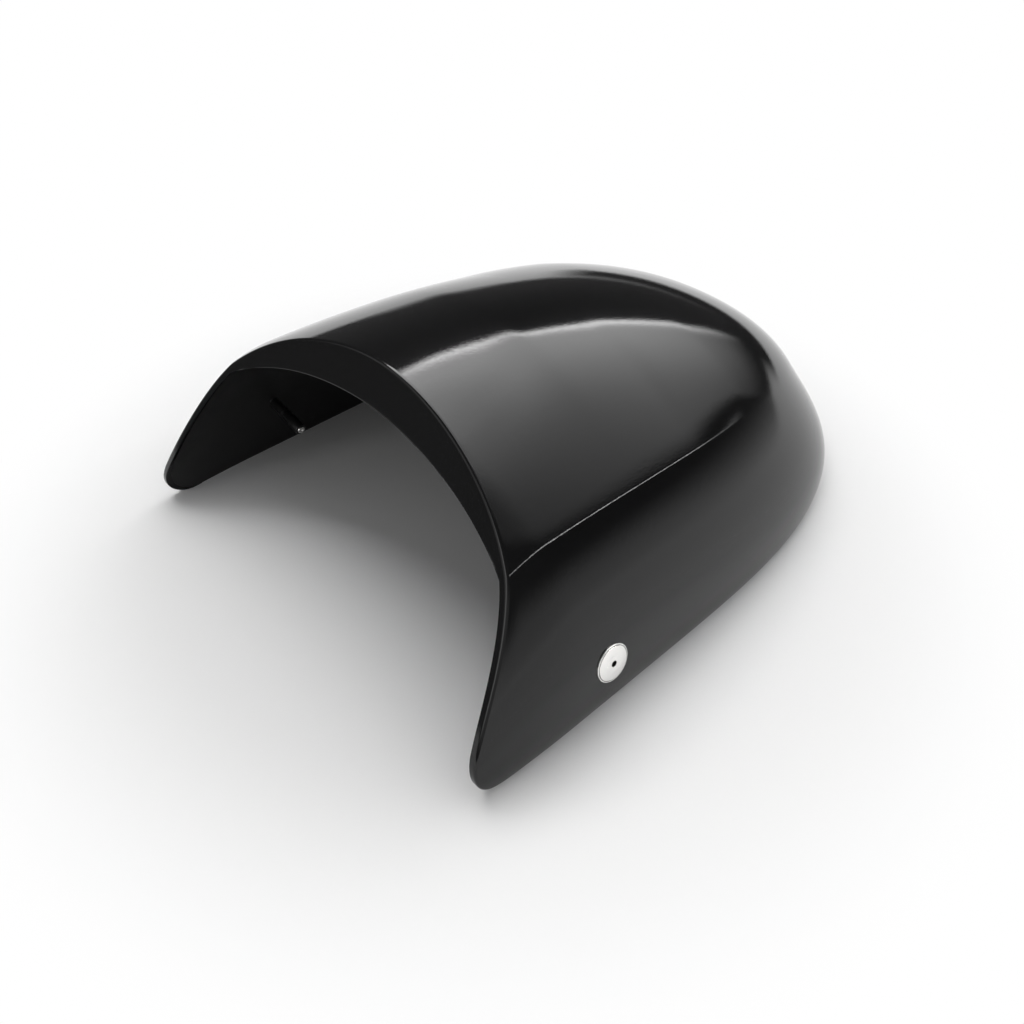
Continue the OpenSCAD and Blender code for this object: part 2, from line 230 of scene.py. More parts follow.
def flange_rows(place):
    """Rows down the flange's face, round its inner rim and back up behind it."""
    width = float(flange_inset(place))
    tip, depth = TIP_SHARE * (width - WALL), TIP_SHARE * FLANGE_THICKNESS
    flat = width - tip
    turns = [(flat + tip * math.sin(a), depth * (1 - math.cos(a))) for a in RIM_TURNS]
    face = front_point(EDGE_ROUND + (flat - EDGE_ROUND) * np.arange(1, FACE_ROWS + 1) / FACE_ROWS, place)
    near = [front_point(inset, place, back) for inset, back in turns]
    far = [front_point(inset, place, FLANGE_THICKNESS - back) for inset, back in turns[::-1]]
    behind = [front_point(flat - (flat - WALL) * s, place, FLANGE_THICKNESS) for s in BACK_SHARES]
    return np.concatenate([face, near, far, behind])


def strip(place):
    edge = float(front_distance(0, place))
    outside = length_rows(edge + EDGE_ROUND, 0, place)
    t = np.arange(1, ROUND_ROWS + 1)[:, None] / ROUND_ROWS
    rounding = bend(outside[-1], skin(edge, 0, place), front_point(EDGE_ROUND, place), t)
    inside = length_rows(front_distance(WALL, place, FLANGE_THICKNESS), WALL, place)[::-1]
    return np.concatenate([outside, rounding, flange_rows(place), inside])


print("rows in a strip:", len(strip(0.5)))

# %% [markdown]
# The right half is made of strips from the bottom edge to the crown, with a few bent ones that round the
# crease by a hair, as moulded plastic is. The left half is the same strips mirrored, without the crown's.

# %% Lay the strips side by side
CREASE_STEPS = (0.2, 0.4, 0.6, 0.8)


def right_strips():
    walls, tops = [strip(p) for p in wall_places], [strip(p) for p in top_places]
    crease = strip(1.0)
    return walls + [bend(walls[-1], crease, tops[0], t) for t in CREASE_STEPS] + tops


right_half = right_strips()
strips = np.array(right_half + [points * (-1, 1, 1) for points in right_half[-2::-1]])
print("strips:", strips.shape[0], "rows in each:", strips.shape[1])

# %% [markdown]
# The vertices go in strip after strip, with one shared vertex at the tail for each skin. The bottom edge is
# closed by joining every row of the outer skin to the matching row of the inner one. The normals are then
# turned outwards, and edges stay sharp only where two faces meet at a clear angle.

# %% Build the mesh
TAIL_VERTS = 2


def shift(points):
    moved = np.array(points, float)
    moved[..., 1] += CENTRE_SHIFT
    return moved * MM


def close_edge(ring, order):
    """Faces across the wall, from each outer row to its inner one; order -1 turns them round."""
    pairs = len(ring) // 2
    faces = [dict.fromkeys([ring[i], ring[i + 1], ring[-2 - i], ring[-1 - i]]) for i in range(pairs - 1)]
    if len(ring) % 2:
        faces.append(ring[pairs - 1:pairs + 2])
    return [tuple(face)[::order] for face in faces]


def shell_mesh(strips):
    count, rows = strips.shape[:2]
    verts = [(0, COWL_LENGTH, 0), (0, COWL_LENGTH - WALL, 0)] + [tuple(p) for s in strips for p in s]

    def at(s, r):
        return TAIL_VERTS + s * rows + r

    faces = []
    for s in range(count - 1):
        faces.append((0, at(s + 1, 0), at(s, 0)))
        faces.append((1, at(s, rows - 1), at(s + 1, rows - 1)))
        faces += [(at(s, r), at(s + 1, r), at(s + 1, r + 1), at(s, r + 1)) for r in range(rows - 1)]
    for s, order in ((0, 1), (count - 1, -1)):
        faces += close_edge([0] + [at(s, r) for r in range(rows)] + [1], order)
    mesh = bpy.data.meshes.new("cowl_shell_skin")
    mesh.from_pydata([tuple(p) for p in shift(verts)], [], faces)
    mesh.validate()
    return mesh


def new_object(name, mesh):
    made = bpy.data.objects.new(name, mesh)
    bpy.context.scene.collection.objects.link(made)
    return made


def tidy_normals(mesh, sharp_deg):
    work = bmesh.new()
    work.from_mesh(mesh)
    bmesh.ops.recalc_face_normals(work, faces=work.faces)
    if work.calc_volume(signed=True) < 0:
        bmesh.ops.reverse_faces(work, faces=work.faces)
    for face in work.faces:
        face.smooth = True
    for edge in work.edges:
        edge.smooth = edge.calc_face_angle(0.0) < math.radians(sharp_deg)
    work.to_mesh(mesh)
    work.free()


shell = new_object("cowl_moulding", shell_mesh(strips))
tidy_normals(shell.data, sharp_deg=35)
print("moulding:", len(shell.data.vertices), "vertices,", len(shell.data.polygons), "faces")

# %% [markdown]
# The bolts and the sleeves are turned parts, so each is a profile spun round its axis. The spin is done in
# mesh code, because one row of the head's profile changes from a circle to the hexagon of the socket, which
# a Screw modifier can't do. Each vertex also keeps its distance from the axis, for the turning marks in the
# steel, and how much painted shade its colour takes in a recess.

# %% Spin a profile
SEGMENTS = 120
HEXAGON_STEP = math.pi / 3
ROUND, HEXAGON, DARK, HALF_DARK = range(4)
# How much painted shade each kind of row puts into the steel's colour: the socket and the groove's floor.
RECESS_SHADE = {ROUND: 0.0, HEXAGON: 1.0, DARK: 1.0, HALF_DARK: 0.6}


def hexagon_reach(flat, angle):
    """How far a hexagon reaches at an angle, when its flats lie this far from the middle."""
    return flat / math.cos((angle + HEXAGON_STEP / 2) % HEXAGON_STEP - HEXAGON_STEP / 2)


def spin(name, profile):
    """Turn rows of (radius, height, kind) round the Z axis."""
    work = bmesh.new()
    mark = work.verts.layers.float.new("turn_radius")
    # This layer holds how much painted shade the steel's colour takes in a recess.
    shade = work.verts.layers.float.new("painted_recess_shade")
    rings = []
    for radius, height, kind in profile:
        ring = []
        for i in range(SEGMENTS if radius else 1):
            angle = 2 * math.pi * i / SEGMENTS
            r = hexagon_reach(radius, angle) if kind == HEXAGON else radius
            vert = work.verts.new((r * MM * math.cos(angle), r * MM * math.sin(angle), height * MM))
            vert[mark] = r * MM
            vert[shade] = RECESS_SHADE[kind]
            ring.append(vert)
        rings.append(ring if radius else ring * SEGMENTS)
    for low, high in zip(rings, rings[1:]):
        for i in range(SEGMENTS):
            j = (i + 1) % SEGMENTS
            corners = list(dict.fromkeys([low[i], low[j], high[j], high[i]]))
            if len(corners) > 2:
                work.faces.new(corners)
    mesh = bpy.data.meshes.new(name)
    work.to_mesh(mesh)
    work.free()
    tidy_normals(mesh, sharp_deg=30)
    print(name, len(mesh.polygons), "faces")
    return mesh


def round_rows(*rows):
    return [(radius, height, ROUND) for radius, height in rows]


def eased_corner(radius, height, up, side=0.1):
    """Two rows that ease a corner; up is 1 or -1, the way that the wall runs from it."""
    return round_rows((radius - side, height + up * 0.08), (radius, height + up * 0.3))


print("each turned part has", SEGMENTS, "segments")

# %% [markdown]
# The bolt's head is a wide, low disc with a rounded rim, a fine groove near the rim, a domed face with one
# turned ring, and a small hexagon socket. Inside the cowl its plain shank ends in a bright tip with a centre
# mark. A bevelled cylinder would lack these small edges, and they are what catches the light.

# %% Profile of the bolt
HEAD_RADIUS, HEAD_RIM, RIM_ROUND, HEAD_DOME = 8.9, 1.5, 0.22, 0.58
DOME_STEP, DOME_EDGE = 0.08, 0.35
GROOVE_INSET, GROOVE_HALF, GROOVE_FLOOR, GROOVE_DEPTH = 0.62, 0.2, 0.12, 0.3
RING_RADIUS, RING_SPAN = 4.0, 0.2
RING_CUTS = ((0.1, 0.06), (0.0, 0.08), (-0.1, 0.06))
SHANK_RADIUS, PIN_REACH, HEAD_SEAT = 2.1, 30.3, 0.7
SOCKET_HALF, SOCKET_DEPTH, SOCKET_LAND, SOCKET_POINT = 1.25, 1.4, 1.62, 0.4


def dome(r):
    return HEAD_RIM + DOME_STEP + HEAD_DOME * (1 - (r / (HEAD_RADIUS - DOME_EDGE)) ** 3)


def shank_rows():
    end = HEAD_SEAT - PIN_REACH
    centre_mark = round_rows((0, end + 0.45), (0.5, end + 0.4), (0.75, end), (SHANK_RADIUS - 0.35, end))
    neck = round_rows((SHANK_RADIUS, -0.02), (SHANK_RADIUS + 0.05, 0))
    return centre_mark + eased_corner(SHANK_RADIUS, end, 1) + neck


def rim_rows():
    rows = [(HEAD_RADIUS - 0.1, 0), (HEAD_RADIUS, 0.1), (HEAD_RADIUS, HEAD_RIM - RIM_ROUND - 0.05)]
    for a in np.linspace(0, math.pi / 2, 6)[1:]:
        rows.append((HEAD_RADIUS - RIM_ROUND * (1 - math.cos(a)), HEAD_RIM - RIM_ROUND * (1 - math.sin(a))))
    return round_rows(*rows)


def face_rows():
    groove, floor = HEAD_RADIUS - GROOVE_INSET, HEAD_RIM - GROOVE_DEPTH
    rows = [(groove + GROOVE_HALF, HEAD_RIM, ROUND), (groove + GROOVE_FLOOR, floor, HALF_DARK),
            (groove - GROOVE_FLOOR, floor, HALF_DARK), (groove - GROOVE_HALF, dome(groove) - 0.04, ROUND)]
    rows += round_rows(*((r, dome(r)) for r in np.linspace(groove - 0.3, RING_RADIUS + RING_SPAN, 16)))
    rows += round_rows(*((RING_RADIUS + side, dome(RING_RADIUS + side) - cut) for side, cut in RING_CUTS))
    return rows + round_rows(*((r, dome(r)) for r in np.linspace(RING_RADIUS - RING_SPAN, 1.75, 10)))


def socket_rows():
    top = dome(1.4)
    floor = top - SOCKET_DEPTH
    return [(SOCKET_LAND, top, ROUND), (SOCKET_HALF + 0.06, top - 0.02, HEXAGON),
            (SOCKET_HALF, top - 0.12, HEXAGON), (SOCKET_HALF, floor + 0.2, HEXAGON),
            (SOCKET_HALF - 0.2, floor, HEXAGON), (0, floor - SOCKET_POINT, DARK)]


bolt_mesh = spin("side_bolt", shank_rows() + rim_rows() + face_rows() + socket_rows())

# %% [markdown]
# The sleeve is the dark stepped tube that the photograph shows inside the left wall: a barrel, a collar and
# a narrower neck between them. It is closed on itself, bore and all, because the bolt runs through it.

# %% Profile of the sleeve
SLEEVE_BORE, NECK, BARREL = 2.15, 2.65, 3.15
SLEEVE_START, SLEEVE_LENGTH = 2.5, 27.0
COLLAR_START, COLLAR_END, BARREL_START = 10.0, 12.0, 13.6


def sleeve_rows():
    end = -SLEEVE_LENGTH
    bore_edge = (SLEEVE_BORE, end + 0.1)
    rows = round_rows(bore_edge, (SLEEVE_BORE + 0.12, end), (BARREL - 0.3, end))
    rows += eased_corner(BARREL, end, 1, side=0.08)
    rows += round_rows((BARREL, -BARREL_START - 0.4), (BARREL - 0.1, -BARREL_START - 0.15))
    rows += round_rows((NECK, -BARREL_START), (NECK, -COLLAR_END))
    rows += eased_corner(BARREL, -COLLAR_END, 1) + eased_corner(BARREL, -COLLAR_START, -1)[::-1]
    rows += round_rows((NECK, -COLLAR_START), (NECK, -0.7), (BARREL - 0.1, -0.4), (BARREL, -0.25))
    return rows + round_rows((BARREL, 0), (SLEEVE_BORE, 0), bore_edge)


sleeve_mesh = spin("side_sleeve", sleeve_rows())

# %% [markdown]
# Every paint, metal and plastic is built from nodes, with no image. A few helpers make a node and feed it, a
# noise that stays fixed to the piece, a roughness that varies with a pattern, and a bump.

# %% Helpers for finishes
def add_node(tree, kind, feeds=None, **settings):
    """A node with its settings, and its inputs fed by other sockets or set to plain values."""
    made = tree.nodes.new(kind)
    for name, value in settings.items():
        setattr(made, name, value)
    for key, value in (feeds or {}).items():
        if isinstance(value, bpy.types.NodeSocket):
            tree.links.new(value, made.inputs[key])
        else:
            made.inputs[key].default_value = value
    return made


def finish(name, colour, metallic=0.0, rough=0.3, ior=1.5):
    material = bpy.data.materials.new(name)
    material.use_nodes = True
    shader = material.node_tree.nodes["Principled BSDF"]
    shader.inputs["Base Color"].default_value = (*colour, 1)
    shader.inputs["Metallic"].default_value = metallic
    shader.inputs["Roughness"].default_value = rough
    shader.inputs["IOR"].default_value = ior
    return material, material.node_tree, shader


def object_noise(tree, scale, detail=2.0):
    place = add_node(tree, "ShaderNodeTexCoord").outputs["Object"]
    noise = add_node(tree, "ShaderNodeTexNoise", {"Vector": place, "Scale": scale, "Detail": detail})
    return noise.outputs["Fac"]


def vary_roughness(tree, shader, pattern, low, high):
    spread = add_node(tree, "ShaderNodeMapRange", {"Value": pattern, "To Min": low, "To Max": high})
    tree.links.new(spread.outputs["Result"], shader.inputs["Roughness"])


def bump(tree, shader, height, distance, after=None):
    made = add_node(tree, "ShaderNodeBump", {"Height": height, "Distance": distance})
    if after is not None:
        tree.links.new(after.outputs["Normal"], made.inputs["Normal"])
    tree.links.new(made.outputs["Normal"], shader.inputs["Normal"])
    return made


# %% [markdown]
# The outside is a gloss black so dark that nearly all of its look comes from reflections. Its roughness and
# two fine grains, the paint's peel and the moulding's own texture, matter more than its colour. The inside
# is the bare moulding: a little lighter, much duller and finely grained.

# %% Gloss paint and raw moulding
def gloss_paint():
    material, tree, shader = finish("gloss_black_paint", (0.0014, 0.0014, 0.0016), rough=0.06, ior=1.46)
    vary_roughness(tree, shader, object_noise(tree, scale=60), 0.045, 0.075)
    peel = bump(tree, shader, object_noise(tree, scale=420, detail=1.0), distance=0.000012)
    bump(tree, shader, object_noise(tree, scale=1300, detail=3.0), distance=0.000016, after=peel)
    return material


def raw_moulding():
    material, tree, shader = finish("black_moulding_inside", (0.011, 0.011, 0.0115), rough=0.42)
    vary_roughness(tree, shader, object_noise(tree, scale=160), 0.36, 0.5)
    bump(tree, shader, object_noise(tree, scale=1800, detail=3.0), distance=0.00002)
    return material


paint, raw = gloss_paint(), raw_moulding()
print("finishes of the moulding:", paint.name, raw.name)

# %% [markdown]
# The bolts are turned stainless steel. A noise of one dimension, read at each point's distance from the
# axis, draws the rings that the tool leaves. The steel's colour is darkened in the groove and the socket as
# painted shade, where little light would reach. The sleeves are a satin black coat.

# %% Turned steel and sleeve coat
# The second colour is painted shade, mixed into the steel in the groove and the socket.
STEEL_COLOUR, PAINTED_SHADE_COLOUR = (0.96, 0.95, 0.93), (0.05, 0.045, 0.04)


def turned_steel():
    material, tree, shader = finish("turned_stainless", STEEL_COLOUR, metallic=1.0, rough=0.2)
    radius = add_node(tree, "ShaderNodeAttribute", attribute_name="turn_radius").outputs["Fac"]
    rings = add_node(tree, "ShaderNodeTexNoise", {"W": radius, "Scale": 9000.0, "Detail": 2.0},
                     noise_dimensions="1D").outputs["Fac"]
    vary_roughness(tree, shader, rings, 0.16, 0.28)
    lines = bump(tree, shader, rings, distance=0.000006)
    bump(tree, shader, object_noise(tree, scale=2500), distance=0.000003, after=lines)
    # Painted shade: the recess layer darkens the steel's colour in the groove and the socket.
    painted_recess_shade = add_node(tree, "ShaderNodeAttribute", attribute_name="painted_recess_shade").outputs["Fac"]
    painted_shade_mix = add_node(tree, "ShaderNodeMix",
                    {"Factor": painted_recess_shade, "A": (*STEEL_COLOUR, 1), "B": (*PAINTED_SHADE_COLOUR, 1)}, data_type="RGBA")
    tree.links.new(painted_shade_mix.outputs["Result"], shader.inputs["Base Color"])
    return material


def sleeve_coat():
    material, tree, shader = finish("satin_black_sleeve", (0.012, 0.012, 0.012), rough=0.3)
    vary_roughness(tree, shader, object_noise(tree, scale=900), 0.24, 0.38)
    bump(tree, shader, object_noise(tree, scale=3000, detail=3.0), distance=0.00001)
    return material


steel, coat = turned_steel(), sleeve_coat()
print("finishes of the fixings:", steel.name, coat.name)

# %% [markdown]
# The paint covers the outside, the rounded edge and the front flange. Behind the flange the moulding is raw,
# so the faces there take the second finish. The row number along a strip tells which is which.

# %% Paint the moulding
PAINTED_ROWS = LENGTH_ROWS + ROUND_ROWS + FACE_ROWS + 2 * len(RIM_TURNS)


def paint_shell(target, rows):
    target.data.materials.append(paint)
    target.data.materials.append(raw)
    for polygon in target.data.polygons:
        row = [(v - TAIL_VERTS) % rows for v in polygon.vertices if v >= TAIL_VERTS]
        inner_tail = 1 in polygon.vertices[:]
        polygon.material_index = 1 if inner_tail or min(row) >= PAINTED_ROWS else 0
    return sum(p.material_index for p in target.data.polygons)


print("raw faces inside:", paint_shell(shell, strips.shape[1]))

# %% [markdown]
# Each fixing sits on both sides of the cowl, mirrored. Geometry Nodes place the pair: one tree takes a
# turned part, the place of the right-hand one and its lean, and puts a copy on each side. The copies could
# be set by hand, but from one tree the pair always matches.

# %% A node tree that sets a part on both sides
TREE_INPUTS = {"Geometry": "Geometry", "Turned part": "Object", "Right place": "Vector", "Lean": "Float",
               "Depth": "Float", "Finish": "Material"}


def maths(tree, operation, *values):
    return add_node(tree, "ShaderNodeMath", dict(enumerate(values)), operation=operation).outputs[0]


def two_points(tree, given, index):
    """A point on each side: index 0 keeps the right-hand place, and index 1 takes its mirror image."""
    place = add_node(tree, "ShaderNodeSeparateXYZ", {0: given["Right place"]}).outputs
    across = maths(tree, "MULTIPLY", place["X"], maths(tree, "MULTIPLY_ADD", index, -2.0, 1.0))
    spot = add_node(tree, "ShaderNodeCombineXYZ", {"X": across, "Y": place["Y"], "Z": place["Z"]})
    points = add_node(tree, "GeometryNodeMeshLine", {"Count": 2})
    return add_node(tree, "GeometryNodeSetPosition",
                    {"Geometry": points.outputs["Mesh"], "Position": spot.outputs[0]}).outputs["Geometry"]


def sunk_part(tree, given):
    part = add_node(tree, "GeometryNodeObjectInfo", {"Object": given["Turned part"]}).outputs["Geometry"]
    deep = add_node(tree, "ShaderNodeCombineXYZ", {"Z": given["Depth"]}).outputs[0]
    sunk = add_node(tree, "GeometryNodeTransform", {"Geometry": part, "Translation": deep})
    return sunk.outputs["Geometry"]


def pair_tree():
    tree = bpy.data.node_groups.new("both_sides", "GeometryNodeTree")
    for name, kind in TREE_INPUTS.items():
        tree.interface.new_socket(name, in_out="INPUT", socket_type="NodeSocket" + kind)
    tree.interface.new_socket("Geometry", in_out="OUTPUT", socket_type="NodeSocketGeometry")
    given = tree.nodes.new("NodeGroupInput").outputs
    index = tree.nodes.new("GeometryNodeInputIndex").outputs[0]
    tip = maths(tree, "SUBTRACT", math.pi / 2, given["Lean"])
    turn = maths(tree, "MULTIPLY", index, math.pi)
    angles = add_node(tree, "ShaderNodeCombineXYZ", {"Y": tip, "Z": turn}).outputs[0]
    copies = add_node(tree, "GeometryNodeInstanceOnPoints",
                      {"Points": two_points(tree, given, index), "Instance": sunk_part(tree, given),
                       "Rotation": angles}).outputs["Instances"]
    solid = add_node(tree, "GeometryNodeRealizeInstances", {"Geometry": copies}).outputs["Geometry"]
    dressed = add_node(tree, "GeometryNodeSetMaterial", {"Geometry": solid, "Material": given["Finish"]})
    add_node(tree, "NodeGroupOutput", {"Geometry": dressed.outputs["Geometry"]})
    return tree


both_sides = pair_tree()
print("node tree:", both_sides.name, len(both_sides.nodes), "nodes")

# %% [markdown]
# The tree runs as a modifier on an empty mesh. Its result is made a plain mesh and the modifier goes, since
# the export keeps no live copies. The bolts lean with the walls, and each head sinks a little into the
# wall.

# %% Set the bolts and sleeves
BOLT_PLACE = (130.317, 77.3, 27.899)
BOLT_LEAN = math.radians(12)


def set_pair(name, mesh, depth, material):
    pattern = new_object(name + "_pattern", mesh)
    holder = new_object(name + "_holder", bpy.data.meshes.new(name + "_holder"))
    placing = holder.modifiers.new("both_sides", "NODES")
    placing.node_group = both_sides
    values = {"Turned part": pattern, "Right place": tuple(shift(BOLT_PLACE)), "Lean": BOLT_LEAN,
              "Depth": depth * MM, "Finish": material}
    for socket in both_sides.interface.items_tree:
        if socket.in_out == "INPUT" and socket.name in values:
            placing[socket.identifier] = values[socket.name]
    bpy.context.view_layer.update()
    seen = holder.evaluated_get(bpy.context.evaluated_depsgraph_get())
    pair_mesh = bpy.data.meshes.new_from_object(seen)
    holder.modifiers.remove(placing)
    bpy.data.objects.remove(holder)
    bpy.data.objects.remove(pattern)
    pair_mesh.name = name
    pair = new_object(name, pair_mesh)
    print(name, "spans", [round(v / MM, 1) for v in pair.dimensions], "mm")
    return pair


bolts = set_pair("side_bolts", bolt_mesh, -HEAD_SEAT, steel)
sleeves = set_pair("side_sleeves", sleeve_mesh, -SLEEVE_START, coat)

# %% [markdown]
# Each piece now rides on its body, and the CAD nodes that it stands for are hidden. The cowl has no joints,
# so there is one body.

# %% Hang each piece on its body and hide its CAD nodes
for piece, nodes, slot in ((shell, ["cowl_shell"], "gloss_black"),
                           (bolts, ["bolt_right", "bolt_left"], "stainless"),
                           (sleeves, ["sleeve_right", "sleeve_left"], "black_sleeve")):
    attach(piece, "root")
    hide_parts(*nodes)
print("pieces:", [shell.name, bolts.name, sleeves.name])

# %% [markdown]
# A gloss black form is drawn by what it mirrors. A white floor shows in the walls, a broad soft light above
# and behind shows on the top, and the dark of the studio shows between them. Area lamps give hard, straight
# edges in the paint. Here all the light hangs on one tent round the part, whose glow is a function of
# direction: the turn in degrees from straight behind the part, and the rise above the floor.

# %% Helpers for the glow
def smooth(v, low, high):
    t = np.clip((v - low) / (high - low), 0, 1)
    return t * t * (3 - 2 * t)


def straight(x, *points):
    """Straight lines through (at, value) points, level past the ends."""
    return np.interp(x, *zip(*points))


def curve(x, *points):
    """A smooth curve through (at, value) points that doesn't overshoot between them."""
    at, values = np.array(points, float).T
    slope = np.diff(values) / np.diff(at)
    before, after = slope[:-1], slope[1:]
    same_way = before * after > 0
    middle = np.where(same_way, 2 * before * after / np.where(same_way, before + after, 1), 0)
    tangent = np.concatenate([slope[:1], middle, slope[-1:]])
    x = np.clip(x, at[0], at[-1])
    i = np.clip(np.searchsorted(at, x) - 1, 0, len(at) - 2)
    step = at[i + 1] - at[i]
    t = (x - at[i]) / step
    ends = (2 * t ** 3 - 3 * t ** 2 + 1) * values[i] + (3 * t ** 2 - 2 * t ** 3) * values[i + 1]
    return ends + step * ((t ** 3 - 2 * t ** 2 + t) * tangent[i] + (t ** 3 - t ** 2) * tangent[i + 1])


def joined(a, b, blend=5.0):
    """The larger of two distances, with the corner between them rounded."""
    near = np.maximum(blend - np.abs(a - b), 0) / blend
    return np.maximum(a, b) + near ** 2 * blend / 4


print("half way up a smooth step:", smooth(0.5, 0, 1))

# %% [markdown]
# The large light hangs above and behind, and its middle reaches down towards the floor behind the tail. Its
# frame is brighter than its middle, which draws the fine line along the top of the paint. A weak halo spills
# past it. High up, a degree of turn is a shorter way than a degree of rise, so turns count for less.

# %% The large soft light
LIGHT_LEFT, LIGHT_RIGHT, LIGHT_FOOT = -112, 84, 47.3
TURN_SHARE, END_SHARE = 0.8, 0.7
FRAME_GAIN, LINE_GAIN, HALO = 0.4, 1.7, 0.22


def light_inside(turn, rise):
    """Degrees inside the light's left and lower edge, negative outside."""
    left_edge = curve(rise, (0, -10), (10, -13.6), (20, -16.3), (30, -20), (38, -24.6), (44, -29.4),
                      (LIGHT_FOOT, -36))
    edge = joined(rise - LIGHT_FOOT, (turn - left_edge) * TURN_SHARE)
    return np.minimum(edge, (turn - LIGHT_LEFT) * END_SHARE)


def light_level(turn):
    return straight(turn, (LIGHT_LEFT, 7.5), (-62, 6.2), (-36, 5.8), (-30, 5.5), (-24, 5.1), (-18, 4.8),
                    (-12, 4.4), (-6, 3.7), (0, 3.0), (6, 2.3), (12, 1.8), (18, 1.45), (24, 1.15), (30, 0.9),
                    (36, 0.72), (42, 0.57), (48, 0.45), (60, 0.35), (72, 0.3), (LIGHT_RIGHT, 0.25))


def soft_light(turn, rise):
    foot = straight(rise, (3, 0), (6, 0.05), (12, 0.23), (18, 0.44), (24, 0.66), (30, 0.86), (36, 0.95),
                    (42, 1.0))
    head = straight(rise, (48, 1), (54, 0.98), (60, 0.74), (66, 0.68), (75, 0.35))
    head = head + (1 - head) * smooth(turn, -8, 16)
    right_edge = curve(turn, (6, 0), (12, 17), (18, 25.5), (30, 37), (42, 46), (60, 56), (LIGHT_RIGHT, 63))
    inside = light_inside(turn, rise)
    line = LINE_GAIN * smooth(2.2 - inside, 0, 1.6) * smooth(turn, -66, -50)
    frame_glow = 1 + FRAME_GAIN * smooth(4.5 - inside, 0, 4) + line
    cut = smooth(rise - right_edge, -3.5, 3.5) * smooth(LIGHT_RIGHT - turn, 0, 10)
    spill = np.exp(np.minimum(inside, 0) / 5) * smooth(-inside, 0, 1)
    halo = HALO * spill * foot * smooth(turn, -120, -105)
    return light_level(turn) * foot * head * frame_glow * cut * smooth(inside, -0.7, 0.7) + halo


print("the soft light straight up from behind, at 60 degrees:", round(float(soft_light(0.0, 60.0)), 2))

# %% [markdown]
# Weaker glows do the rest. A narrow, bright strip on the right draws a thin line in the paint, and a broader
# one stands in front. A haze along the horizon is the white room, a low fill glows in front of the part, and
# the dark of the studio between them is never quite black.

# %% Strip, haze, fill and the whole tent
LAMP_LEVEL = 0.86
STRIP_HALF, FRONT_TURN, FRONT_LEVEL, TOP_LEVEL = 1.8, -168, 1.6, 0.6


def edge_strip(turn, rise):
    line = curve(turn, (14, 12.3), (28, 25.8), (42, 37.6), (56, 43.4), (72, 45.6), (90, 47.3))
    level = straight(turn, (14, 0), (20, 2), (26, 13), (38, 16), (50, 13), (80, 10), (92, 8), (104, 0))
    height = smooth(rise, 3, 8) * (1 - smooth(rise, 34, 42))
    front = FRONT_LEVEL * smooth(9 - np.abs(turn - FRONT_TURN), 0, 6) * height
    return level * smooth(STRIP_HALF - np.abs(rise - line), 0, 1.2) + front


def horizon_haze(turn, rise):
    middle = curve(turn, (-180, -9), (-68, -6), (-60, 2), (-52, 1.2), (-46, -2), (-40, -5), (-34, -7.5),
                   (0, -6), (8, -1), (16, 4.2), (24, 8), (36, 12), (48, 15.8), (60, 18.5), (72, 21),
                   (88, 23), (100, 16), (108, 12), (125, -6), (180, -9))
    width = straight(turn, (-60, 4.5), (-10, 6), (10, 7.5), (90, 9), (110, 9))
    level = straight(rise, (0, 1.1), (3, 0.95), (6, 0.82), (10, 0.74), (18, 0.66), (24, 0.62))
    return level * (1 - smooth((rise - middle) / width, -1, 1))


def low_fill(turn, rise):
    level = straight(turn, (-180, 0.45), (-128, 0.6), (-112, 0), (98, 0), (114, 0.3), (180, 0.45))
    start = straight(turn, (-180, 8), (-128, 12), (0, 6), (114, 1), (180, 8))
    return level * smooth(rise - start, 0, 6) * (1 - smooth(rise, 36, 46))


def tent_glow(turn, rise):
    dark = straight(turn, (-180, 0.23), (-142, 0.24), (-128, 0.17), (-110, 0.15), (-66, 0.14), (-48, 0.13),
                    (-30, 0.09), (-12, 0.08), (30, 0.1), (60, 0.14), (110, 0.2), (180, 0.23))
    lights = sum(light(turn, rise) for light in (soft_light, edge_strip, horizon_haze, low_fill))
    return LAMP_LEVEL * (dark + lights + TOP_LEVEL * smooth(rise, 70, 82))


def light_on_floor():
    """The light that falls on a level floor, added up over every degree of the tent."""
    rise, turn = np.meshgrid(np.arange(0.5, 90), np.arange(-179.5, 180), indexing="ij")
    falling = np.sin(np.radians(rise)) * np.cos(np.radians(rise))
    return float((tent_glow(turn, rise) * falling).sum()) * math.radians(1) ** 2


falling_light = light_on_floor()
print("light on the floor:", round(falling_light, 2))
print("level of a white floor:", round(falling_light / math.pi, 2))

# %% [markdown]
# The tent is a fine grid of directions on a large half ball. Each vertex keeps the glow of its direction, so
# the material only has to read it. The camera doesn't see the tent, but the paint and the floor do.

# %% Hang the tent
TENT_RADIUS, TENT_STEP, TENT_BOTTOM, TOP_RISE = 20.0, 0.5, -3, 89.5


def grid_faces(rows, columns, closed=False):
    """Quads between vertices kept row by row; a closed grid joins its last column to its first."""
    quads = []
    for r in range(rows - 1):
        for c in range(columns if closed else columns - 1):
            low, high, beside = r * columns, (r + 1) * columns, (c + 1) % columns
            quads.append((low + c, low + beside, high + beside, high + c))
    return quads


def tent():
    turn, rise = np.meshgrid(np.arange(-180, 180, TENT_STEP), np.arange(TENT_BOTTOM, 90, TENT_STEP))
    a, e = np.radians(turn), np.radians(rise)
    points = np.stack([np.cos(e) * np.sin(a), np.cos(e) * np.cos(a), np.sin(e)], -1) * TENT_RADIUS
    rows, columns = turn.shape
    verts = [tuple(p) for p in points.reshape(-1, 3)] + [(0, 0, TENT_RADIUS)]
    last, top = (rows - 1) * columns, len(verts) - 1
    cap = [(last + c, last + (c + 1) % columns, top) for c in range(columns)]
    mesh = bpy.data.meshes.new("studio_tent")
    mesh.from_pydata(verts, [], grid_faces(rows, columns, closed=True) + cap)
    glow = mesh.attributes.new("glow", "FLOAT", "POINT")
    values = np.append(tent_glow(turn, np.maximum(rise, 0)).ravel(), tent_glow(0.0, TOP_RISE))
    glow.data.foreach_set("value", values.astype(np.float32))
    return new_object("studio_tent", mesh)


